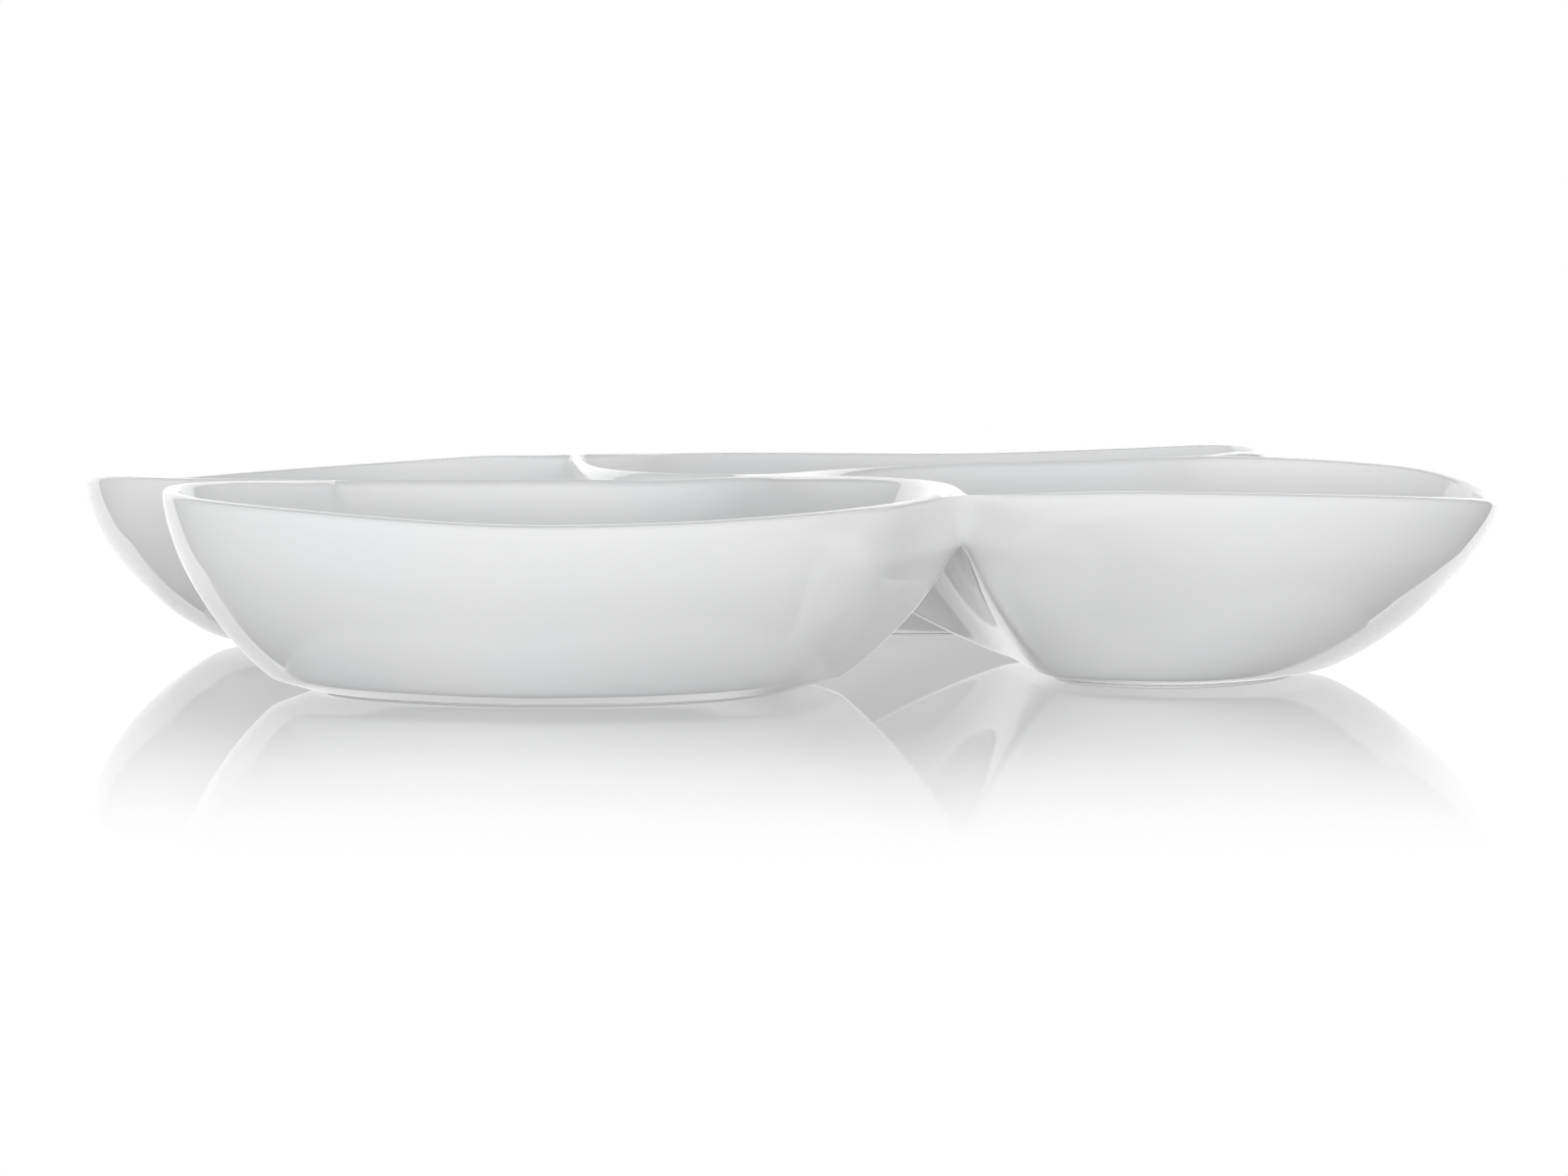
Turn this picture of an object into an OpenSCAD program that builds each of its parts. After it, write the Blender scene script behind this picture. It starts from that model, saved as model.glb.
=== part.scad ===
// Divided serving bowl: four lobes of glazed porcelain that turn like a pinwheel round one
// centre. Each lobe is lofted from its foot, up the flared wall, over the round rim and down
// to its floor. Neighbouring lobes meet face to face along the middle of a ridge.
// The origin is on the table, below the centre where the four ridges meet.

/* [Bowl] */
// Width across the four lobes
bowl_w = 362; // [280:1:440]
// Height of the highest point of the rim above the table
rim_h = 50; // [44:0.5:62]
// Thickness of the wall at its round rim
rim_t = 4.4; // [3.6:0.1:6]
// Height of the round along each edge of the rim's top
rim_round = 1.1; // [0.8:0.1:1.8]
// Thickness of the floor above the foot
floor_t = 6; // [4.5:0.1:8]
// How much deeper the middle of each floor lies than its edge
floor_dish = 1; // [0.2:0.1:2]

/* [Ridges] */
// Thickness of a ridge just under its round top
ridge_t = 5.2; // [4:0.1:7]
// Reach of the rounded knot in the middle, where the four ridges meet
knot_r = 9; // [6:0.5:12]
// Height of the groove under the ridges above the table
groove_h = 34.4; // [28:0.2:37]
// Rounding along the top of the groove
groove_r = 2; // [1:0.1:3]

/* [Feet] */
// Height of each unglazed foot ring
foot_h = 0.4; // [0.3:0.1:2]
// Width of each foot ring
foot_w = 4; // [3:0.1:6]
// How far each foot ring stands back from the lower edge of the glaze
foot_back = 1.5; // [1:0.1:3]
// Bevel on the lower edges of each foot ring
foot_bevel = 0.1; // [0.1:0.05:0.2]

/* [Smoothness] */
// Steps between two places of the rim's outline
rim_steps = 3; // [2:1:4]
// Steps between two places of a ridge's outline
ridge_steps = 2; // [2:1:3]

/* [Hidden] */

half_w = bowl_w / 2;
rim_r = rim_t / 2;
ridge_half = ridge_t / 2;
floor_z = foot_h + floor_t;

// Outer edge of the front left lobe in plan, from the valley at its left to the last place
// before the valley at its right. Plan shares are of half the width.
rim_plan_shares = [
    [-0.597, -0.249], [-0.641, -0.316], [-0.716, -0.442], [-0.776, -0.619],
    [-0.735, -0.796], [-0.575, -0.928], [-0.343, -0.981], [-0.138, -1.000],
    [0.022, -0.945], [0.133, -0.829], [0.193, -0.685]];
// Ridge between the two front lobes in plan, from its valley to the centre
ridge_plan_shares = [
    [0.249, -0.597], [0.241, -0.508], [0.235, -0.387], [0.221, -0.265],
    [0.191, -0.160], [0.122, -0.075], [0, 0]];
// Lower edge of the front left lobe, with a place below each place of rim and ridges
foot_plan_shares = [
    [-0.497, -0.387], [-0.525, -0.409], [-0.558, -0.453], [-0.580, -0.525],
    [-0.558, -0.608], [-0.470, -0.702], [-0.315, -0.773], [-0.160, -0.762],
    [-0.050, -0.702], [0.017, -0.619], [0.050, -0.547], [0.066, -0.492],
    [0.069, -0.453], [0.061, -0.414], [0.033, -0.381], [-0.006, -0.359],
    [-0.044, -0.348], [-0.088, -0.343], [-0.138, -0.343], [-0.199, -0.345],
    [-0.287, -0.351], [-0.376, -0.359], [-0.448, -0.370]];
// Middle of the front left lobe's foot
foot_middle_shares = [-0.265, -0.541];

// The lobes are shaped by hand and differ a little. Each list runs front left, front right,
// back right and back left. First, how wide each foot spreads about its middle.
foot_spread_shares = [1.06, 0.90, 0.97, 1.00];
// How far each foot has moved, in shares of half the width
foot_shift_shares = [[-0.017, -0.014], [-0.017, 0], [0, 0], [0, 0]];
// How far the valley after each lobe has moved along the rim, in shares of half the width
valley_shift_shares = [0, 0, 0.06, 0];
// How much of that shift the places take: those of the rim before the valley, those of the
// rim from the valley on, and those of the ridge from the valley to the centre
before_shift_shares = [0, 0, 0, 0, 0, 0, 0, 0, 0.08, 0.35, 0.72];
after_shift_shares = [1, 0.85, 0.35, 0.06, 0, 0, 0, 0, 0, 0, 0];
ridge_shift_shares = [1, 0.9, 0.7, 0.45, 0.22, 0.06, 0];
// How far a valley draws back along its ridge, from the top of the groove up, in shares of
// the ridge's first step
valley_lean_shares = [0.55, 0.3, 0];

// Height of the rim at each place of its outline, as shares of the rim's height, for the
// front left, front right, back right and back left lobes: the rim sags and rises by hand
rim_height_shares = [
    [0.938, 0.946, 0.964, 0.972, 0.948, 0.910, 0.856, 0.864, 0.890, 0.910, 0.916],
    [0.922, 0.934, 0.958, 0.958, 0.940, 0.902, 0.856, 0.876, 0.952, 0.984, 1.000],
    [0.990, 0.980, 0.988, 0.968, 0.990, 0.950, 0.914, 0.912, 0.924, 0.938, 0.954],
    [0.954, 0.948, 0.934, 0.888, 0.850, 0.834, 0.870, 0.894, 0.928, 0.930, 0.934]];
// Height of the ridge at each place between its valley and the centre, in the same shares,
// for the ridge on the clockwise side of each lobe: left, front, right and back
ridge_height_shares = [
    [0.940, 0.938, 0.938, 0.928, 0.932], [0.944, 0.942, 0.936, 0.932, 0.932],
    [0.976, 0.966, 0.956, 0.940, 0.934], [0.932, 0.924, 0.922, 0.922, 0.922]];
centre_height_share = 0.93;

// Rings of the outer wall, as shares of its height, and the ring that is level with the
// top of the groove under the ridges. Each lobe's own heel takes the place of the second
wall_ring_shares = [0, 0.03, 0.10, 0.22, 0.38, 0.55, 0.68, 0.74, 0.88, 1];
groove_ring_shares = [0, 0.03, 0.10, 0.22, 0.40, 0.64, 0.93];
groove_ring = len(groove_ring_shares);
// Rings of the inner wall, as shares of its height, from the rim down to the floor
inner_ring_shares = [1, 0.8, 0.6, 0.42, 0.26, 0.13, 0.04, 0];
// Angles of the rings over the round rim
rim_angles = [45, 90, 135];
// Fullness of each lobe's wall: one is a straight slope, two a quarter ellipse
wall_fullness = [1.46, 1.36, 1.50, 1.60];
// Height of the soft heel under each lobe's wall, in shares of the wall's height
heel_shares = [0.065, 0.040, 0.055, 0.055];
// How far the glazed sole draws in from the heel to its lower edge, in shares of the way to
// the middle of the foot
sole_draw_share = 0.09;
// The fullness of the wall under a groove and of the inner face of a ridge
groove_fullness = 1.22;
ridge_fullness = 1.3;
// How much the valleys' corners are evened out on each ring of the inner wall
evened_shares = [0, 0.6, 1, 1, 1, 0.8, 0.5, 0.3];
// How far the floor's edge draws in towards the middle of the foot
floor_draw_share = 0.08;
// Where the round of a ridge's top turns down, as shares of its half thickness
ridge_turn_share = 0.6;
ridge_drop_share = 0.25;
// How fast the ridges widen into the knot, one value for each place from valley to centre
knot_shares = [0, 0, 0, 0, 0.08, 0.35, 1];

glaze_colour = "whitesmoke";
foot_colour = "antiquewhite";

// A quarter turn of a plan point, done a given number of times, keeping any height
function turned(p, quarters) =
    quarters % 4 == 0 ? p : turned(len(p) > 2 ? [-p[1], p[0], p[2]] : [-p[1], p[0]], quarters - 1);
function lobe_index(k) = (k + 4) % 4;
function mix(a, b, share) = a + (b - a) * share;
function plan(p) = [p[0], p[1]];
function at_height(line, z) = [for (p = line) [p[0], p[1], z]];

// A smooth curve through four places, at a share of the way from the second to the third
function curve_at(a, b, c, d, t) =
    (2 * b + (c - a) * t + (2 * a - 5 * b + 4 * c - d) * t * t + (3 * b - 3 * c + d - a) * t * t * t) / 2;
function curve_open(before, pts, after, steps) =
    let (all = concat([before], pts, [after]))
    [for (i = [1 : len(all) - 3], s = [0 : steps - 1])
        curve_at(all[i - 1], all[i], all[i + 1], all[i + 2], s / steps)];

// The shift of the valley after a lobe
function valley_shift(k) = turned([valley_shift_shares[lobe_index(k)] * half_w, 0], lobe_index(k));

// Places of a lobe's rim with their heights, and of the ridge on its clockwise side
function rim_places(k) =
    [for (i = [0 : len(rim_plan_shares) - 1])
        let (own = valley_shift(k) * before_shift_shares[i],
             last = valley_shift(k - 1) * after_shift_shares[i],
             p = turned(rim_plan_shares[i] * half_w, lobe_index(k)) + own + last)
        [p[0], p[1], rim_height_shares[lobe_index(k)][i] * rim_h]];
function ridge_heights(k) =
    concat([rim_height_shares[lobe_index(k)][0]], ridge_height_shares[lobe_index(k)],
           [centre_height_share]) * rim_h;
function ridge_places(k) =
    [for (i = [0 : len(ridge_plan_shares) - 1])
        let (shift = valley_shift(k - 1) * ridge_shift_shares[i],
             p = turned(ridge_plan_shares[i] * half_w, lobe_index(k - 1)) + shift)
        [p[0], p[1], ridge_heights(k)[i]]];
function reversed(list) = [for (i = [len(list) - 1 : -1 : 0]) list[i]];
function past(a, b) = 2 * a - b;
function across(p) = [-p[0], -p[1], p[2]];

// The closed top outline of a lobe: its rim, the ridge to the centre and the ridge back
function rim_line(k) =
    let (own = rim_places(k), last = rim_places(k - 1), next = rim_places(k + 1))
    curve_open(last[len(last) - 1], concat(own, [next[0]]), next[1], rim_steps);
function ridge_line(k) =
    let (r = ridge_places(k))
    curve_open(past(r[0], r[1]), r, across(r[len(r) - 2]), ridge_steps);
function ridge_line_back(k) =
    let (r = ridge_places(k))
    curve_open(across(r[len(r) - 2]), reversed(r), past(r[0], r[1]), ridge_steps);
function top_line(k) = concat(rim_line(k), ridge_line(k + 1), ridge_line_back(k));

rim_count = len(rim_plan_shares) * rim_steps;
ridge_count = (len(ridge_plan_shares) - 1) * ridge_steps;
place_count = len(foot_plan_shares);
line_count = rim_count + 2 * ridge_count;

// The lower outline of a lobe, with one point below each point of the top outline
function foot_place(k, i) =
    let (share = foot_plan_shares[(i + place_count) % place_count])
    mix(foot_middle_shares, share, foot_spread_shares[k]) * half_w;
function foot_line(k) =
    [for (i = [0 : place_count - 1],
          s = [0 : (i < len(rim_plan_shares) ? rim_steps : ridge_steps) - 1])
        let (steps = i < len(rim_plan_shares) ? rim_steps : ridge_steps)
        turned(curve_at(foot_place(k, i - 1), foot_place(k, i), foot_place(k, i + 1),
                        foot_place(k, i + 2), s / steps), k) + foot_shift_shares[k] * half_w];
function foot_middle(k) = turned(foot_middle_shares * half_w, k) + foot_shift_shares[k] * half_w;

// How much a point belongs to a ridge: one along the ridges, falling to nothing two places
// along the rim from each valley
blend_reach = 2 * rim_steps;
function eased(t) = t * t * (3 - 2 * t);
function ridge_share(i) =
    i >= rim_count ? 1 : eased(max(0, 1 - min(i, rim_count - i) / blend_reach));
// How much a point belongs to the knot in the middle
function knot_share_at(i) =
    let (along = (i - rim_count) / ridge_steps,
         last = len(knot_shares) - 1,
         place = along <= last ? along : 2 * last - along,
         low = max(0, floor(place)))
    i < rim_count ? 0 : mix(knot_shares[low], knot_shares[min(last, low + 1)], place - low);

// Where a point stands in plan at a ring of the outer wall, before the wall leans in: the
// two valley points draw back along their ridges from the top of the groove
function valley_next(i) = i == 0 ? line_count - 1 : i + 1;
function standing(top, i, j) =
    let (lean = j < groove_ring - 1 ? 0 : valley_lean_shares[max(0, j - groove_ring)])
    i == 0 || i == rim_count ? mix(plan(top[i]), plan(top[valley_next(i)]), lean) : plan(top[i]);

// Share of the way in that a wall has gone at a share of its height
function gone_in(height_share, fullness) =
    1 - pow(1 - pow(1 - height_share, fullness), 1 / fullness);
function unit(v) = v / norm(v);

// The edge of a lobe's glazed sole, from which its foot ring stands back
function sole_line(k) =
    let (middle = foot_middle(k))
    [for (p = foot_line(k)) mix(p, middle, sole_draw_share)];

// The rings of a lobe, from its lower edge to the edge of its floor
function outer_ring(top, foot, k, j) =
    j == 0 ? at_height(sole_line(k), foot_h) :
    [for (i = [0 : line_count - 1])
        let (t = top[i],
             edge = standing(top, i, j),
             in = foot[i] - edge,
             share = ridge_share(i),
             h = j == 1 ? heel_shares[k] : wall_ring_shares[j],
             shoulder = t[2] - rim_r,
             wall = edge + in * gone_in(h, wall_fullness[k]),
             wall_z = foot_h + h * (shoulder - foot_h),
             below = j < groove_ring,
             g = j == 1 ? heel_shares[k] : below ? groove_ring_shares[j] : 1,
             round_in = groove_r / norm(in),
             groove_in = j == groove_ring - 1 ? round_in : gone_in(g, groove_fullness),
             groove = below ? edge + in * groove_in : edge,
             rise = (h - wall_ring_shares[groove_ring]) / (1 - wall_ring_shares[groove_ring]),
             groove_z = below ? foot_h + g * (groove_h - foot_h)
                              : groove_h + rise * (shoulder - groove_h),
             p = mix(wall, groove, share))
        [p[0], p[1], mix(wall_z, groove_z, share)]];
function inset_at(i) =
    mix(rim_t, mix(ridge_half, knot_r, knot_share_at(i)), ridge_share(i));
function rim_ring(top, foot, angle) =
    [for (i = [0 : line_count - 1])
        let (t = top[i],
             edge = plan(t),
             in = unit(foot[i] - edge),
             share = ridge_share(i),
             wall = edge + in * rim_r * (1 - cos(angle)),
             wall_z = t[2] - rim_round * (1 - sin(angle)),
             past_top = angle > 90,
             ridge = past_top ? edge + in * inset_at(i) * ridge_turn_share : edge,
             ridge_z = past_top ? t[2] - ridge_half * ridge_drop_share : wall_z,
             p = mix(wall, ridge, share))
        [p[0], p[1], mix(wall_z, ridge_z, share)]];
// The mean of a closed line's points round one of them
function around(line, i) =
    let (n = len(line), near = [for (s = [-2 : 2]) line[(i + s + n) % n]])
    [for (p = near) 1] * near / len(near);
function inner_ring(top, foot, middle, k, j) =
    let (h = inner_ring_shares[j],
         start = [for (i = [0 : line_count - 1])
            plan(top[i]) + unit(foot[i] - plan(top[i])) * inset_at(i)])
    [for (i = [0 : line_count - 1])
        let (even = mix(start[i], around(start, i), evened_shares[j] * ridge_share(i)),
             end = mix(foot[i], middle, floor_draw_share),
             fullness = mix(wall_fullness[k], ridge_fullness, ridge_share(i)),
             p = mix(even, end, gone_in(h, fullness)))
        [p[0], p[1], floor_z + h * (top[i][2] - rim_r - floor_z)]];

// A closed solid through a stack of rings, with a point in the middle of each end
module loft(rings, first_middle, last_middle) {
    count = len(rings[0]);
    levels = len(rings);
    bands = [for (j = [0 : levels - 2], i = [0 : count - 1])
        let (a = j * count + i, b = j * count + (i + 1) % count)
        each [[a, b, b + count], [a, b + count, a + count]]];
    ends = [for (i = [0 : count - 1])
        let (n = (i + 1) % count, top = (levels - 1) * count)
        each [[levels * count, n, i], [levels * count + 1, top + i, top + n]]];
    polyhedron(
        points = concat([for (r = rings) each r], [first_middle, last_middle]),
        faces = [for (f = concat(bands, ends)) reversed(f)],
        convexity = 6);
}

module lobe_bowl(k) {
    top = top_line(k);
    foot = foot_line(k);
    middle = foot_middle(k);
    rings = concat(
        [for (j = [0 : len(wall_ring_shares) - 1]) outer_ring(top, foot, k, j)],
        [for (a = rim_angles) rim_ring(top, foot, a)],
        [for (j = [0 : len(inner_ring_shares) - 1])
            inner_ring(top, foot, middle, k, j)]);
    color(glaze_colour)
        loft(rings, [middle[0], middle[1], foot_h], [middle[0], middle[1], floor_z - floor_dish]);
}

// A line drawn in from the sole's edge towards its middle
function drawn_in(line, middle, distance) =
    [for (p = line) p + unit(middle - p) * distance];

// A closed ring of unglazed porcelain under the lobe
module lobe_foot(k) {
    line = sole_line(k);
    middle = foot_middle(k);
    count = len(line);
    outside = foot_back;
    inside = foot_back + foot_w;
    rings = [
        at_height(drawn_in(line, middle, outside), foot_h),
        at_height(drawn_in(line, middle, outside), foot_bevel),
        at_height(drawn_in(line, middle, outside + foot_bevel), 0),
        at_height(drawn_in(line, middle, inside - foot_bevel), 0),
        at_height(drawn_in(line, middle, inside), foot_bevel),
        at_height(drawn_in(line, middle, inside), foot_h)];
    levels = len(rings);
    color(foot_colour)
        polyhedron(
            points = [for (r = rings) each r],
            faces = [for (j = [0 : levels - 1], i = [0 : count - 1])
                let (n = (i + 1) % count, a = j * count, b = (j + 1) % levels * count)
                each [[a + i, a + n, b + n], [a + i, b + n, b + i]]],
            convexity = 4);
}

module front_left_bowl() { lobe_bowl(0); }
module front_right_bowl() { lobe_bowl(1); }
module back_right_bowl() { lobe_bowl(2); }
module back_left_bowl() { lobe_bowl(3); }
module front_left_foot() { lobe_foot(0); }
module front_right_foot() { lobe_foot(1); }
module back_right_foot() { lobe_foot(2); }
module back_left_foot() { lobe_foot(3); }

front_left_bowl();
front_right_bowl();
back_right_bowl();
back_left_bowl();
front_left_foot();
front_right_foot();
back_right_foot();
back_left_foot();
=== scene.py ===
import math

import bmesh
import bpy
import numpy as np
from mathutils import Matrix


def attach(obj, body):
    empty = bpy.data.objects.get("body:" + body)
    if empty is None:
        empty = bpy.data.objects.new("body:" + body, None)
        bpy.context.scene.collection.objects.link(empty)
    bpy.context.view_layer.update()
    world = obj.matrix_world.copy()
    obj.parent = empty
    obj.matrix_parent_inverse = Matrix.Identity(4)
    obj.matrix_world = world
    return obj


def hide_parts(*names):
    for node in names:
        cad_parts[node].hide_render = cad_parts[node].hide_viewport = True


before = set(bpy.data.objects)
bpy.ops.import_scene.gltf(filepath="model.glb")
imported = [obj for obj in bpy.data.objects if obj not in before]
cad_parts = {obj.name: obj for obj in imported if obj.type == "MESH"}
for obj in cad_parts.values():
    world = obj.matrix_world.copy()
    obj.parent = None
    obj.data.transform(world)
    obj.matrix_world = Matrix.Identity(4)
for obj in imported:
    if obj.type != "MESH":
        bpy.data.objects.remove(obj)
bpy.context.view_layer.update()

MM = 0.001
LOBES = ("front_left", "front_right", "back_right", "back_left")

# Sizes of the porcelain in mm, as in the CAD.
HALF_W = 181.0
RIM_H = 50.0
RIM_R = 2.2
RIM_ROUND = 1.1
FLOOR_Z = 6.4
FLOOR_DISH = 1.0
RIDGE_HALF = 2.6
KNOT_R = 9.0
GROOVE_H = 34.4
GROOVE_R = 2.0
FOOT_H = 0.4

# Stations of a lobe's rings between two places of the lines below.
RIM_PLACES = 3
RIDGE_PLACES = 2

# Plan places are shares of half the width; one lobe's are turned by quarters for the rest.
RIM_PLAN = [(-0.597, -0.249), (-0.641, -0.316), (-0.716, -0.442), (-0.776, -0.619),
            (-0.735, -0.796), (-0.575, -0.928), (-0.343, -0.981), (-0.138, -1.000),
            (0.022, -0.945), (0.133, -0.829), (0.193, -0.685)]
RIDGE_PLAN = [(0.249, -0.597), (0.241, -0.508), (0.235, -0.387), (0.221, -0.265),
              (0.191, -0.160), (0.122, -0.075), (0, 0)]
FOOT_PLAN = [(-0.497, -0.387), (-0.525, -0.409), (-0.558, -0.453), (-0.580, -0.525),
             (-0.558, -0.608), (-0.470, -0.702), (-0.315, -0.773), (-0.160, -0.762),
             (-0.050, -0.702), (0.017, -0.619), (0.050, -0.547), (0.066, -0.492),
             (0.069, -0.453), (0.061, -0.414), (0.033, -0.381), (-0.006, -0.359),
             (-0.044, -0.348), (-0.088, -0.343), (-0.138, -0.343), (-0.199, -0.345),
             (-0.287, -0.351), (-0.376, -0.359), (-0.448, -0.370)]
FOOT_MIDDLE = (-0.265, -0.541)

# What differs from lobe to lobe, in the order of LOBES: how far the foot's plan is spread, and
# the shifts of the foot and of the valley after the rim, as shares of half the width.
FOOT_SPREAD = (1.06, 0.90, 0.97, 1.00)
FOOT_SHIFT = ((-0.017, -0.014), (-0.017, 0), (0, 0), (0, 0))
VALLEY_SHIFT = (0, 0, 0.06, 0)

# How much of a valley's shift each place of the rim before it, of the rim after it and of its
# ridge takes up.
BEFORE_SHIFT = (0, 0, 0, 0, 0, 0, 0, 0, 0.08, 0.35, 0.72)
AFTER_SHIFT = (1, 0.85, 0.35, 0.06, 0, 0, 0, 0, 0, 0, 0)
RIDGE_SHIFT = (1, 0.9, 0.7, 0.45, 0.22, 0.06, 0)

# How far a valley's station leans in along its ridge, in the rings at and above the groove's
# top.
VALLEY_LEAN = (0.55, 0.3, 0)

# Heights of each lobe's rim and ridge, as shares of the bowl's height.
RIM_HEIGHTS = ((0.938, 0.946, 0.964, 0.972, 0.948, 0.910, 0.856, 0.864, 0.890, 0.910, 0.916),
               (0.922, 0.934, 0.958, 0.958, 0.940, 0.902, 0.856, 0.876, 0.952, 0.984, 1.000),
               (0.990, 0.980, 0.988, 0.968, 0.990, 0.950, 0.914, 0.912, 0.924, 0.938, 0.954),
               (0.954, 0.948, 0.934, 0.888, 0.850, 0.834, 0.870, 0.894, 0.928, 0.930, 0.934))
RIDGE_HEIGHTS = ((0.940, 0.938, 0.938, 0.928, 0.932), (0.944, 0.942, 0.936, 0.932, 0.932),
                 (0.976, 0.966, 0.956, 0.940, 0.934), (0.932, 0.924, 0.922, 0.922, 0.922))
CENTRE_HEIGHT = 0.93

# The rings of a lobe. Those of its wall, its groove and its inside go by shares of the height,
# those of the rim by degrees, and the flat ones by shares of the way to the foot's middle. The
# rim and the ridges' tops have more rings than in the CAD, which rounds them more finely.
WALL_RINGS = (0, 0.03, 0.10, 0.22, 0.38, 0.55, 0.68, 0.74, 0.88, 1)
GROOVE_RINGS = (0, 0.03, 0.10, 0.22, 0.40, 0.64, 0.93)
INNER_RINGS = (1, 0.8, 0.6, 0.42, 0.26, 0.13, 0.04, 0)
CREST = 90
RIM_ANGLES = (25, 50, 70, CREST, 110, 130, 155)
FLOOR_RINGS = (0.12, 0.3, 0.5, 0.7, 0.88)
UNDER_RINGS = (0.02, 0.06, 0.2, 0.5, 0.8)
HEEL_RING = 0.8         # share of the way from the sole's edge up to the heel

# How full the walls are.
WALL_FULLNESS = (1.46, 1.36, 1.50, 1.60)
GROOVE_FULLNESS = 1.22
RIDGE_FULLNESS = 1.3

# How high the heel is, as a share of the wall's height, and how far the edges of the sole and
# of the floor are drawn in towards the foot's middle. The CAD draws in all four soles by 0.09.
HEEL = (0.065, 0.040, 0.055, 0.055)
SOLE_DRAW = (0.045, 0.09, 0.09, 0.09)
FLOOR_DRAW = 0.08

# The round top of a ridge, how many rim places it takes to fade into the rim, how it broadens
# to the knot, and how its inner side is evened out.
RIDGE_SPREAD = 1.5
RIDGE_DROP = 0.85
FADE_PLACES = 2
KNOT_SHARES = (0, 0, 0, 0, 0.08, 0.35, 1)
EVENED = (0, 0.6, 1, 1, 1, 0.8, 0.5, 0.3)
EVEN_REACH = 2

RIM_COUNT = len(RIM_PLAN) * RIM_PLACES
LINE_COUNT = RIM_COUNT + 2 * (len(RIDGE_PLAN) - 1) * RIDGE_PLACES
GROOVE_RING = len(GROOVE_RINGS)
TOP_RING = len(WALL_RINGS) + RIM_ANGLES.index(CREST)

JOIN_DIST = 0.02        # mm within which two lobes' points are one
SMOOTH_LEVELS = 2

# Scales of the glaze's and the biscuit's patterns, in mm, and where the glaze's white turns.
POOL_SIZE = 60.0
POOL_LOW, POOL_HIGH = 0.3, 0.7
WAVE_SIZE = 22.0
WAVE_HEIGHT = 0.03
GRAIN_SIZE = 0.8
GRAIN_DEPTH = 0.05

# Smooth steps of the studio: where one starts and ends, and its values there. Distances are
# in metres, and an angle is the share that Layer Weight calls facing, 1 where a ray grazes.
IMAGE_FADE = (0.17, 0.43, 0.66, 0.0)        # the bowl's mirror image, away from the middle
IMAGE_ANGLE = (0.66, 0.88, 0.0, 1.0)        # the bowl's mirror image, by angle
LIGHT_FADE = (0.09, 0.13, 0.27, 0.13)       # the painted glow of the sheet itself, stronger under the bowl, by distance from the middle
SHADOW_FADE = (0.15, 0.30, 0.80, 1.0)       # the plain white that covers the shadow
GLOW_FADE = (0.17, 0.20, 1.0, 0.0)          # the painted glow that only reflections see, away from the middle
GLOW_ANGLE = (0.48, 0.53, 0.0, 1.0)
GAP_FADE = (0.034, 0.060, 0.2, 1.0)         # the same painted glow, away from the front gap's middle
GAP_MIDDLE = (0.032, -0.095, 0)
BOARD_WHITE_AND_PAINTED_GLEAM = (0.0, 1.0, 1.0, 1.5)          # the board's white as the camera sees it, and brighter as the glaze mirrors it, a painted reflection
ROOM_LIGHT = (0.10, 0.42, 1.95, 0.18)       # the room, by the height of a direction
SHEEN = 0.8
MIRRORED_ROOM = 0.08
ROOM_TINT = (0.995, 0.997, 1, 1)
WHITE = (1, 1, 1, 1)

# The studio's things, in metres: the floor, the board, and each lamp's place, aim, width,
# height and power in watts.
FLOOR_HALF = 6.0
BOARD_LEFT, BOARD_RIGHT, BOARD_Y, BOARD_FOOT, BOARD_TOP = -3.6, 2.2, 3.2, -0.1, 2.3
SOFTBOXES = {
    "back_softbox": ((0, 1.0, 1.6), (0, 0, 0), 2.4, 1.2, 13),
    "front_softbox": ((0.35, -2.42, 0.24), (0, 0, 0.03), 1.0, 0.44, 21.5),
    "left_softbox": ((-2.4, -0.8, 0.24), (0, 0, 0.03), 1.0, 0.44, 8),
}

EYE = (0.003, -1.135, 0.093)
TILT = 3.82             # degrees below level
LENS, SENSOR = 101.36, 36
NEAR, FAR = 0.05, 50


def turned(p, quarters):
    """A plan point, with or without a height, turned by quarters of a turn."""
    p = list(p)
    for _ in range(quarters % 4):
        p[0], p[1] = -p[1], p[0]
    return np.array(p, float)


def curve_at(a, b, c, d, t):
    """A smooth curve through four places, a share t of the way from the second to the third."""
    return (2 * b + (c - a) * t + (2 * a - 5 * b + 4 * c - d) * t ** 2
            + (3 * b - 3 * c + d - a) * t ** 3) / 2


def curve_open(before, places, after, steps):
    """Stations along an open curve, whose ends lean towards a place before and one after."""
    row = [before, *places, after]
    return [curve_at(*row[i - 1:i + 3], s / steps)
            for i in range(1, len(row) - 2) for s in range(steps)]


def rim_places(k):
    """The places of one lobe's rim, with its two valleys shifted."""
    own, last = (turned((VALLEY_SHIFT[n % 4] * HALF_W, 0, 0), n) for n in (k, k - 1))
    return [turned((x * HALF_W, y * HALF_W, h * RIM_H), k) + own * before + last * after
            for (x, y), h, before, after
            in zip(RIM_PLAN, RIM_HEIGHTS[k % 4], BEFORE_SHIFT, AFTER_SHIFT)]


def ridge_places(k):
    """The places of the ridge that starts where one lobe's rim does, in to the centre."""
    heights = (RIM_HEIGHTS[k % 4][0], *RIDGE_HEIGHTS[k % 4], CENTRE_HEIGHT)
    return [turned(((x + VALLEY_SHIFT[(k - 1) % 4] * s) * HALF_W, y * HALF_W, h * RIM_H), k - 1)
            for (x, y), h, s in zip(RIDGE_PLAN, heights, RIDGE_SHIFT)]


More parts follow.
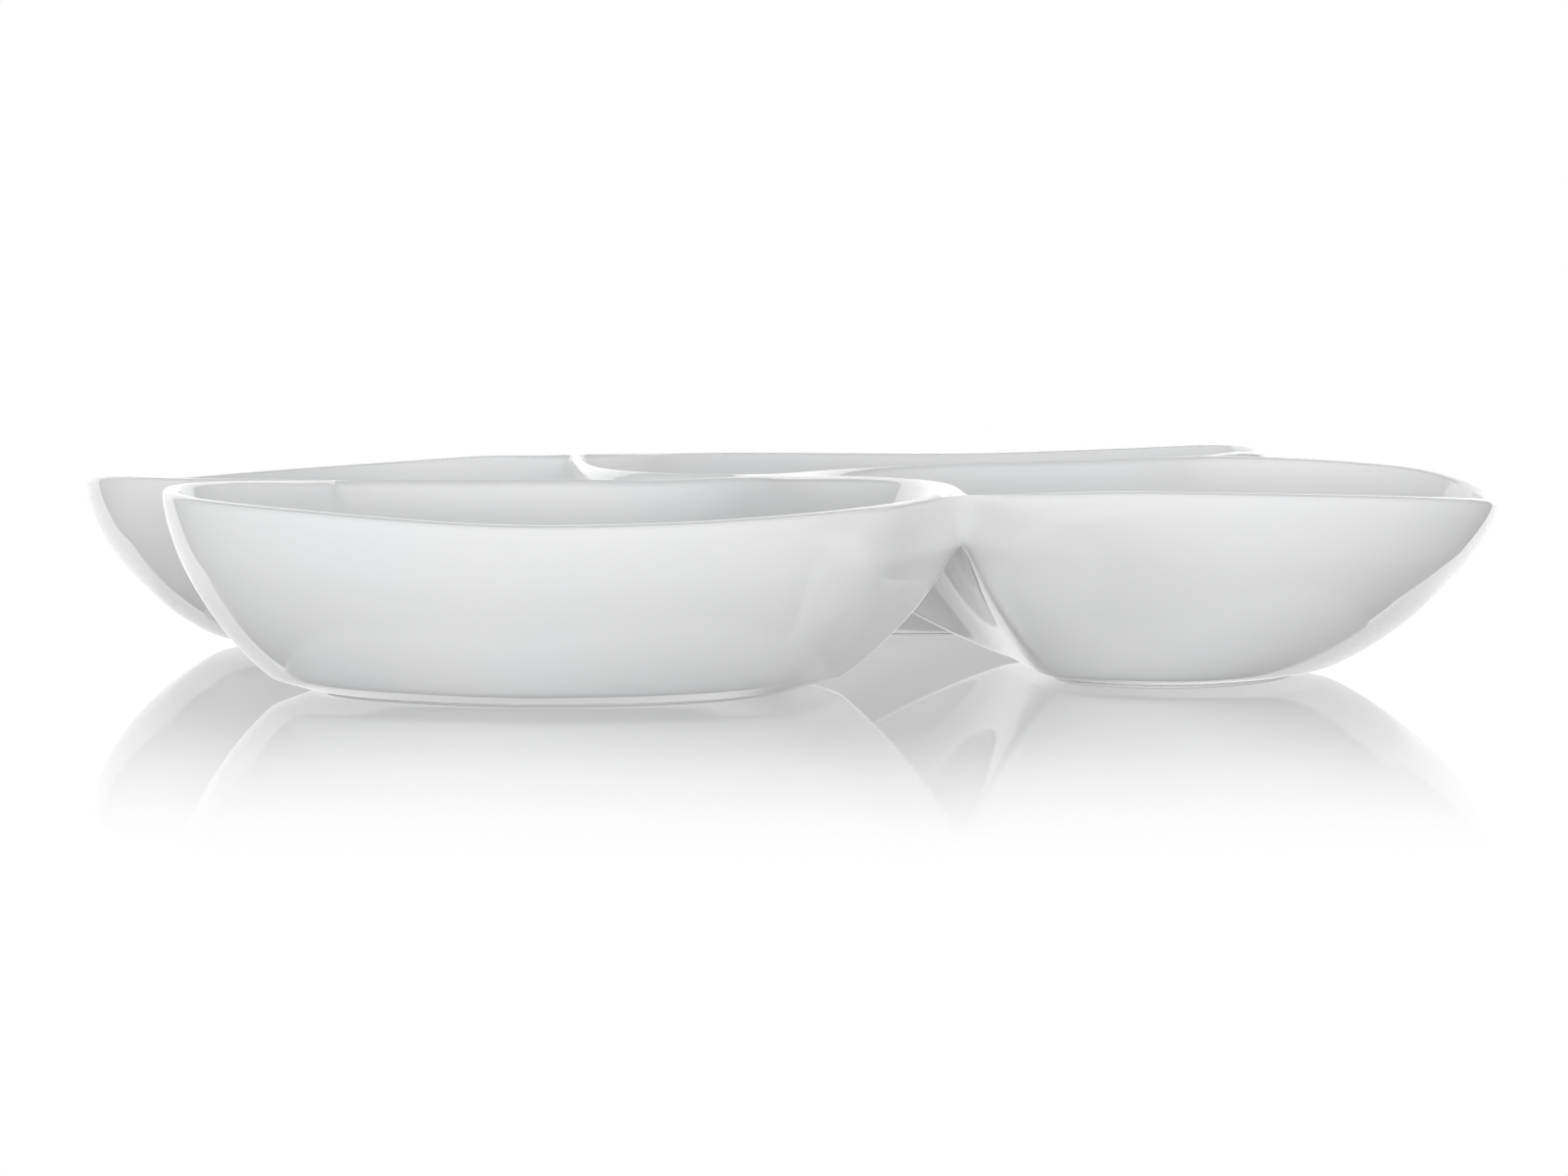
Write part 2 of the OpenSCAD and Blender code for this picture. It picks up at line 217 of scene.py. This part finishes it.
def top_line(k):
    """The rim, the ridge in to the centre and the ridge back out, as one closed line."""
    across = np.array((-1, -1, 1))
    last, own, after = rim_places(k - 1), rim_places(k), rim_places(k + 1)
    r, back = ridge_places(k + 1), ridge_places(k)[::-1]
    return np.array(
        curve_open(last[-1], [*own, after[0]], after[1], RIM_PLACES)
        + curve_open(2 * r[0] - r[1], r, across * r[-2], RIDGE_PLACES)
        + curve_open(across * back[1], back, 2 * back[-1] - back[-2], RIDGE_PLACES))


def foot_middle(k):
    """The middle of one lobe's foot."""
    return turned(FOOT_MIDDLE, k) * HALF_W + np.array(FOOT_SHIFT[k]) * HALF_W


def foot_line(k):
    """The closed line on which one lobe's wall comes down, station by station."""
    middle = np.array(FOOT_MIDDLE)
    places = [middle + (np.array(p) - middle) * FOOT_SPREAD[k] for p in FOOT_PLAN]
    n = len(places)
    line = [curve_at(*(places[(i + o) % n] for o in (-1, 0, 1, 2)), s / steps)
            for i in range(n)
            for steps in [RIM_PLACES if i < len(RIM_PLAN) else RIDGE_PLACES]
            for s in range(steps)]
    return np.array([turned(p, k) * HALF_W for p in line]) + np.array(FOOT_SHIFT[k]) * HALF_W


def gone_in(height, fullness):
    """How far a wall has gone in from its rim to its foot, at a share of its height."""
    return 1 - (1 - (1 - height) ** fullness) ** (1 / fullness)


def mix(a, b, share):
    """A value a share of the way from one to another."""
    return a + (b - a) * share


def eased(t):
    """A share that starts and ends slowly."""
    return t * t * (3 - 2 * t)


def ring(plan, z):
    """Plan points with their heights."""
    return np.column_stack([plan, np.broadcast_to(z, len(plan))])


def lobe_rings(k):
    """The rings of one lobe: up its outer wall, over the rim and down to its floor."""
    top, foot = top_line(k), foot_line(k)
    station = np.arange(LINE_COUNT)
    reach = np.minimum(station, RIM_COUNT - station) / (FADE_PLACES * RIM_PLACES)
    ridge = np.where(station < RIM_COUNT, eased(np.clip(1 - reach, 0, 1)), 1)
    along = (station - RIM_COUNT) / RIDGE_PLACES
    knot = np.interp(np.minimum(along, 2 * len(KNOT_SHARES) - 2 - along),
                     range(len(KNOT_SHARES)), KNOT_SHARES) * (station >= RIM_COUNT)
    wide = ridge[:, None]
    edge, shoulder = top[:, :2], top[:, 2] - RIM_R
    inward = foot - edge
    unit = inward / np.linalg.norm(inward, axis=1, keepdims=True)

    # The outer wall, which turns into the side of a groove along the ridges.
    rings = [ring(mix(foot, foot_middle(k), SOLE_DRAW[k]), FOOT_H)]
    for j, h in list(enumerate(WALL_RINGS))[1:]:
        g = GROOVE_RINGS[j] if j < GROOVE_RING else 1
        if j == 1:
            h = g = HEEL[k]
        standing = edge.copy()
        if j >= GROOVE_RING - 1:
            lean = VALLEY_LEAN[max(0, j - GROOVE_RING)]
            for valley, beside in ((0, LINE_COUNT - 1), (RIM_COUNT, RIM_COUNT + 1)):
                standing[valley] = mix(edge[valley], edge[beside], lean)
        to_foot = foot - standing
        wall = standing + to_foot * gone_in(h, WALL_FULLNESS[k])
        wall_z = FOOT_H + h * (shoulder - FOOT_H)
        if j < GROOVE_RING - 1:
            groove = standing + to_foot * gone_in(g, GROOVE_FULLNESS)
        elif j < GROOVE_RING:
            length = np.linalg.norm(to_foot, axis=1, keepdims=True)
            groove = standing + GROOVE_R * to_foot / length
        else:
            groove = standing
        if j < GROOVE_RING:
            groove_z = FOOT_H + g * (GROOVE_H - FOOT_H)
        else:
            rise = (h - WALL_RINGS[GROOVE_RING]) / (1 - WALL_RINGS[GROOVE_RING])
            groove_z = GROOVE_H + rise * (shoulder - GROOVE_H)
        rings.append(ring(mix(wall, groove, wide), mix(wall_z, groove_z, ridge)))

    # Over the rounded rim, and over the broader top of a ridge.
    inset = mix(2 * RIM_R, mix(RIDGE_HALF, KNOT_R, knot), ridge)[:, None]
    for angle in np.radians(RIM_ANGLES):
        wall = edge + unit * RIM_R * (1 - math.cos(angle))
        wall_z = top[:, 2] - RIM_ROUND * (1 - math.sin(angle))
        over, over_z = edge, wall_z
        if angle > math.radians(CREST):
            past = -math.cos(angle)
            over = edge + unit * inset * past ** RIDGE_SPREAD
            over_z = top[:, 2] - RIDGE_HALF * (1 - math.sqrt(1 - past ** 2)) * RIDGE_DROP
        rings.append(ring(mix(wall, over, wide), mix(wall_z, over_z, ridge)))

    # Down the inner wall to the floor.
    start, end = edge + unit * inset, mix(foot, foot_middle(k), FLOOR_DRAW)
    fullness = mix(WALL_FULLNESS[k], RIDGE_FULLNESS, wide)
    beside = range(-EVEN_REACH, EVEN_REACH + 1)
    around = sum(np.roll(start, s, axis=0) for s in beside) / len(beside)
    for h, evened in zip(INNER_RINGS, EVENED):
        even = mix(start, around, evened * wide)
        rings.append(ring(mix(even, end, gone_in(h, fullness)),
                          FLOOR_Z + h * (shoulder - FLOOR_Z)))
    return rings


def add_lobe(bm, k):
    """Adds one lobe to the cage, closed below and at its floor, and open inside its ridges."""
    middle = foot_middle(k)
    rings = lobe_rings(k)
    under, floor = rings[0], rings[-1]
    for s in FLOOR_RINGS:
        rings.append(ring(mix(floor[:, :2], middle, s),
                          FLOOR_Z - FLOOR_DISH * (1 - (1 - s) ** 2)))
    rings.insert(1, mix(rings[0], rings[1], HEEL_RING))
    rings[:0] = [ring(mix(under[:, :2], middle, s), FOOT_H) for s in UNDER_RINGS[::-1]]
    first = len(UNDER_RINGS) + 1
    rows = [[bm.verts.new(p * MM) for p in r] for r in rings]
    ends = [bm.verts.new((middle[0] * MM, middle[1] * MM, z * MM))
            for z in (FOOT_H, FLOOR_Z - FLOOR_DISH)]
    for j in range(len(rows) - 1):
        inside = first + GROOVE_RING <= j < first + TOP_RING
        for i in range(RIM_COUNT if inside else LINE_COUNT):
            n = (i + 1) % LINE_COUNT
            bm.faces.new((rows[j][i], rows[j][n], rows[j + 1][n], rows[j + 1][i]))
    for i in range(LINE_COUNT):
        n = (i + 1) % LINE_COUNT
        bm.faces.new((rows[0][n], rows[0][i], ends[0]))
        bm.faces.new((rows[-1][i], rows[-1][n], ends[1]))


def glazed_body():
    """The whole porcelain body as one cage: the four lobes, joined where their stations meet,
    and subdivided."""
    bm = bmesh.new()
    for k in range(len(LOBES)):
        add_lobe(bm, k)
    bmesh.ops.remove_doubles(bm, verts=bm.verts, dist=JOIN_DIST * MM)
    loose = [v for v in bm.verts if not v.link_faces]
    bmesh.ops.delete(bm, geom=loose, context="VERTS")
    bmesh.ops.recalc_face_normals(bm, faces=bm.faces)
    mesh = bpy.data.meshes.new("glazed_body")
    bm.to_mesh(mesh)
    bm.free()
    mesh.shade_smooth()
    body = bpy.data.objects.new("glazed_body", mesh)
    bpy.context.collection.objects.link(body)
    fine = body.modifiers.new("smooth", "SUBSURF")
    fine.levels = fine.render_levels = SMOOTH_LEVELS
    return body


def linear(hex_colour):
    """An sRGB hex value as linear red, green, blue and alpha."""
    channels = (int(hex_colour[i:i + 2], 16) / 255 for i in (1, 3, 5))
    return (*(c / 12.92 if c <= 0.04045 else ((c + 0.055) / 1.055) ** 2.4 for c in channels), 1)


def add(tree, kind, links=None, **settings):
    """Adds a node. Settings name a socket or a property, and links give a socket's source."""
    node = tree.nodes.new("ShaderNode" + kind)
    for name, value in settings.items():
        if hasattr(node, name):
            setattr(node, name, value)
        else:
            node.inputs[name.replace("_", " ")].default_value = value
    for name, source in (links or {}).items():
        socket = node.inputs[name]
        tree.links.new(source if isinstance(source, bpy.types.NodeSocket)
                       else source.outputs[0], socket)
    return node


def ramp(tree, value, low, high, from_value, to_value):
    """A smooth step from one value to another as the input goes from low to high."""
    step = add(tree, "MapRange", {"Value": value}, interpolation_type="SMOOTHSTEP",
               From_Min=low, From_Max=high, To_Min=from_value, To_Max=to_value)
    return step.outputs["Result"]


def new_material(name):
    """An empty material and its node tree."""
    material = bpy.data.materials.new(name)
    material.use_nodes = True
    material.node_tree.nodes.clear()
    return material, material.node_tree


def glazed_porcelain():
    """White porcelain under a clear gloss glaze, slip cast and dipped."""
    material, tree = new_material("gloss_glazed_porcelain")
    place = add(tree, "TexCoord").outputs["Object"]
    # The glaze lies a little thicker in places, which shows as a faint change of white.
    pooling = add(tree, "TexNoise", {"Vector": place}, Scale=1 / (POOL_SIZE * MM), Detail=2.0)
    white = add(tree, "ValToRGB", {"Fac": pooling})
    white.color_ramp.elements[0].position = POOL_LOW
    white.color_ramp.elements[1].position = POOL_HIGH
    white.color_ramp.elements[0].color = linear("#EEEFF0")
    white.color_ramp.elements[1].color = linear("#F1F1F1")
    # The fired glaze is never quite flat: long, very low waves bend its reflections.
    wave = add(tree, "TexNoise", {"Vector": place}, Scale=1 / (WAVE_SIZE * MM), Detail=1.0)
    bump = add(tree, "Bump", {"Height": wave}, Strength=0.25, Distance=WAVE_HEIGHT * MM)
    # The gloss mirrors the studio: white along the outlines and dim over the walls.
    shader = add(tree, "BsdfPrincipled", {"Base Color": white, "Normal": bump},
                 Roughness=0.025, IOR=1.52)
    add(tree, "OutputMaterial", {"Surface": shader})
    return material


def biscuit_porcelain():
    """Bare fired porcelain on the foot rings, ground flat after firing."""
    material, tree = new_material("ground_biscuit_porcelain")
    place = add(tree, "TexCoord").outputs["Object"]
    # A fine grain makes the ring matte and a little warmer than the glaze, as a thin line.
    grain = add(tree, "TexNoise", {"Vector": place}, Scale=1 / (GRAIN_SIZE * MM), Detail=3.0)
    warm = add(tree, "ValToRGB", {"Fac": grain})
    warm.color_ramp.elements[0].color = linear("#DAD9D6")
    warm.color_ramp.elements[1].color = linear("#E8E7E4")
    bump = add(tree, "Bump", {"Height": grain}, Strength=0.4, Distance=GRAIN_DEPTH * MM)
    shader = add(tree, "BsdfPrincipled", {"Base Color": warm, "Normal": bump}, Roughness=0.7)
    add(tree, "OutputMaterial", {"Surface": shader})
    return material


def polished_floor():
    """A polished white acrylic sheet: white to the camera, with a mirror image of the bowl
    at a low angle that is strongest close to it and dies away further out."""
    material, tree = new_material("polished_white_acrylic")
    path = add(tree, "LightPath")
    low = add(tree, "LayerWeight", Blend=0.5).outputs["Facing"]
    place = add(tree, "TexCoord").outputs["Object"]
    flat = add(tree, "VectorMath", {0: place}, operation="MULTIPLY")
    flat.inputs[1].default_value = (1, 1, 0)
    away = add(tree, "VectorMath", {0: flat}, operation="LENGTH").outputs["Value"]
    mirrored = add(tree, "Math", {0: ramp(tree, away, *IMAGE_FADE),
                                  1: ramp(tree, low, *IMAGE_ANGLE)}, operation="MULTIPLY")
    mirror = add(tree, "BsdfGlossy", Roughness=0.03, Color=WHITE)
    sheet_white = add(tree, "BsdfDiffuse", Color=linear("#B8B8B8"))
    # Painted glow: the sheet itself glows, stronger under the bowl, and this glow lights the
    # bowl's lower walls from below.
    painted_glow = add(tree, "Emission", {"Strength": ramp(tree, away, *LIGHT_FADE)}, Color=WHITE)
    matt = add(tree, "AddShader", {0: sheet_white, 1: painted_glow})
    white = add(tree, "Emission", Strength=1.0, Color=WHITE)
    # The camera sees the sheet as white, with the bowl's shadow only close to it.
    lit = add(tree, "MixShader", {0: ramp(tree, away, *SHADOW_FADE), 1: matt, 2: white})
    seen = add(tree, "MixShader", {0: mirrored, 1: lit, 2: mirror})
    # Painted reflection: to reflections only, the sheet glows white near the bowl and at a low
    # angle, but little in the front gap, which paints the white bands along the glaze's lower
    # edges.
    from_gap = add(tree, "VectorMath", {0: flat}, operation="SUBTRACT")
    from_gap.inputs[1].default_value = GAP_MIDDLE
    aside = add(tree, "VectorMath", {0: from_gap}, operation="LENGTH").outputs["Value"]
    under = add(tree, "Math", {0: ramp(tree, away, *GLOW_FADE),
                               1: ramp(tree, aside, *GAP_FADE)}, operation="MULTIPLY")
    below = add(tree, "Math", {0: under, 1: ramp(tree, low, *GLOW_ANGLE)},
                operation="MULTIPLY")
    sheen = add(tree, "MixShader", {1: matt, 2: mirror}, Fac=SHEEN)
    glossy_view_with_painted_band = add(tree, "MixShader", {0: below, 1: sheen, 2: white})
    others = add(tree, "MixShader", {0: path.outputs["Is Glossy Ray"], 1: matt, 2: glossy_view_with_painted_band})
    sheet = add(tree, "MixShader", {0: path.outputs["Is Camera Ray"], 1: others, 2: seen})
    add(tree, "OutputMaterial", {"Surface": sheet})
    return material


def white_backdrop():
    """A white background board, lit evenly, which the glaze mirrors near its outlines."""
    material, tree = new_material("white_backdrop_board")
    path = add(tree, "LightPath")
    direct = add(tree, "Math", {0: path.outputs["Is Camera Ray"],
                                1: path.outputs["Is Glossy Ray"]}, operation="MAXIMUM")
    shown = add(tree, "Math", {0: direct, 1: path.outputs["Is Transmission Ray"]},
                operation="MAXIMUM")
    board = add(tree, "BsdfDiffuse", Color=linear("#F4F4F4"))
    # Painted reflection: the board glows brighter to the glaze's reflections than to the
    # camera, which whitens the mirrored bands more than the camera can show.
    lit = ramp(tree, path.outputs["Is Glossy Ray"], *BOARD_WHITE_AND_PAINTED_GLEAM)
    white = add(tree, "Emission", {"Strength": lit}, Color=WHITE)
    surface = add(tree, "MixShader", {0: shown, 1: board, 2: white})
    add(tree, "OutputMaterial", {"Surface": surface})
    return material


def studio_world():
    """A studio lit all round from low down and dim above, which the camera sees as white and
    the glaze as nearly dark."""
    world = bpy.data.worlds.new("studio")
    bpy.context.scene.world = world
    world.use_nodes = True
    tree = world.node_tree
    tree.nodes.clear()
    path = add(tree, "LightPath")
    direction = add(tree, "TexCoord").outputs["Generated"]
    height = add(tree, "SeparateXYZ", {0: direction}).outputs["Z"]
    room = add(tree, "Background", {"Strength": ramp(tree, height, *ROOM_LIGHT)},
               Color=ROOM_TINT)
    mirrored = add(tree, "Background", Color=WHITE, Strength=MIRRORED_ROOM)
    white = add(tree, "Background", Color=WHITE, Strength=1.0)
    others = add(tree, "MixShader", {0: path.outputs["Is Glossy Ray"], 1: room, 2: mirrored})
    shown = add(tree, "Math", {0: path.outputs["Is Camera Ray"],
                               1: path.outputs["Is Transmission Ray"]}, operation="MAXIMUM")
    surface = add(tree, "MixShader", {0: shown, 1: others, 2: white})
    add(tree, "OutputWorld", {"Surface": surface})


def sheet_object(name, corners, material):
    """A flat sheet of the studio, from its four corners."""
    bm = bmesh.new()
    bm.faces.new([bm.verts.new(c) for c in corners])
    mesh = bpy.data.meshes.new(name)
    bm.to_mesh(mesh)
    bm.free()
    sheet = bpy.data.objects.new(name, mesh)
    sheet.data.materials.append(material)
    bpy.context.collection.objects.link(sheet)
    return sheet


def acrylic_floor():
    """The polished sheet that the bowl stands on."""
    a = FLOOR_HALF
    sheet_object("acrylic_floor", ((-a, -a, 0), (a, -a, 0), (a, a, 0), (-a, a, 0)),
                 polished_floor())


def backdrop_board():
    """The upright board behind the bowl, which is seen and mirrored but lights nothing."""
    corners = [(x, BOARD_Y, z) for x, z in ((BOARD_LEFT, BOARD_FOOT), (BOARD_RIGHT, BOARD_FOOT),
                                            (BOARD_RIGHT, BOARD_TOP), (BOARD_LEFT, BOARD_TOP))]
    board = sheet_object("backdrop_board", corners, white_backdrop())
    board.visible_diffuse = False


def softbox(name, place, aim, wide, high, watts):
    """A soft lamp that faces its aim, and that the glaze doesn't mirror."""
    lamp = bpy.data.lights.new(name, "AREA")
    lamp.shape = "RECTANGLE"
    lamp.size, lamp.size_y = wide, high
    lamp.energy = watts
    box = bpy.data.objects.new(name, lamp)
    box.location = place
    direction = np.array(aim, float) - np.array(place, float)
    flat = math.hypot(direction[0], direction[1])
    box.rotation_euler = (math.atan2(flat, -direction[2]), 0,
                          math.atan2(-direction[0], direction[1]))
    box.visible_glossy = False
    bpy.context.collection.objects.link(box)


def camera():
    """A long lens just above the bowl's rim, tilted down a little, with no shift."""
    data = bpy.data.cameras.new("camera")
    data.sensor_width = SENSOR
    data.lens = LENS
    data.clip_start, data.clip_end = NEAR, FAR
    eye = bpy.data.objects.new("camera", data)
    eye.location = EYE
    eye.rotation_euler = (math.radians(90 - TILT), 0, 0)
    bpy.context.collection.objects.link(eye)
    bpy.context.scene.camera = eye


camera()
bpy.context.scene.view_settings.view_transform = "Standard"
studio_world()

body = glazed_body()
body.data.materials.append(glazed_porcelain())
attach(body, "root")
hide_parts(*(lobe + "_bowl" for lobe in LOBES))

# The foot rings are the CAD's own, with the biscuit on them.
biscuit = biscuit_porcelain()
for lobe in LOBES:
    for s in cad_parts[lobe + "_foot"].material_slots:
        s.material = biscuit

acrylic_floor()
backdrop_board()
for name, sizes in SOFTBOXES.items():
    softbox(name, *sizes)
